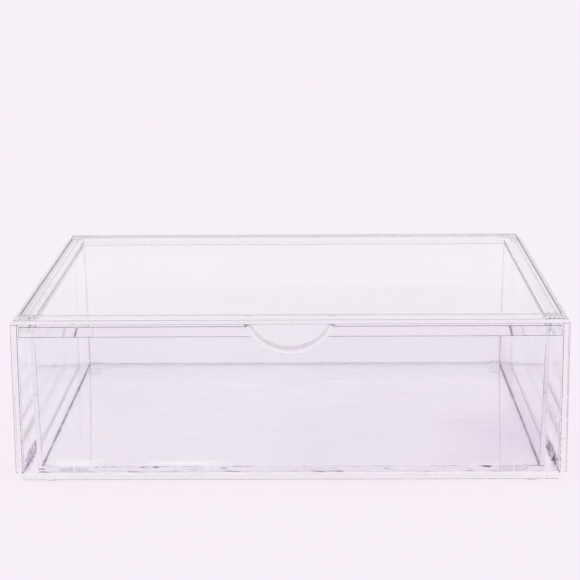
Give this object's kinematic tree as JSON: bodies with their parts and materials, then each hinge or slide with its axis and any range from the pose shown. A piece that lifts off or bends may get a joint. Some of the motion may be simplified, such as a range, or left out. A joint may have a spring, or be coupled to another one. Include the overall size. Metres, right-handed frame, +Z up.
{
  "type": "stackable drawer box",
  "caption": "Clear flat box, open at the front, with a sliding clear drawer that has a half-moon finger notch; a low rim on top keeps a box stacked on it in place.",
  "frame": {"origin": "middle of the footprint, at the level the feet stand on", "axes": "+X to the right seen from the front, +Y to the back, +Z up; the drawer opens towards -Y"},
  "size_m": [0.305, 0.2362, 0.0957],
  "materials": {
    "clear_casing": "clear, polished, with a faint lilac cast",
    "clear_rim": "clear, polished strip",
    "clear_drawer": "clear, polished, with a faint lilac cast",
    "clear_trim": "clear, moulded, smooth",
    "clear_rubber": "clear, soft, satin"
  },
  "bodies": {
    "casing": {"casing_base": "clear_casing", "casing_left_side": "clear_casing", "casing_right_side": "clear_casing", "casing_back": "clear_casing", "casing_top": "clear_casing", "rim_front": "clear_rim", "rim_back": "clear_rim", "rim_left": "clear_rim", "rim_right": "clear_rim", "left_stop": "clear_trim", "right_stop": "clear_trim", "left_bumper": "clear_rubber", "right_bumper": "clear_rubber", "foot_front_left": "clear_rubber", "foot_front_right": "clear_rubber", "foot_back_left": "clear_rubber", "foot_back_right": "clear_rubber"},
    "drawer": {"drawer_floor": "clear_drawer", "drawer_left_side": "clear_drawer", "drawer_right_side": "clear_drawer", "drawer_back": "clear_drawer", "drawer_front": "clear_drawer", "finger_lip": "clear_trim", "left_guide_rail": "clear_trim", "right_guide_rail": "clear_trim"}
  },
  "joints": [
    {"name": "drawer_slide", "type": "slide", "parent": "casing", "child": "drawer", "axis": [0, -1, 0], "range_m": [0, 0.2163]}
  ]
}
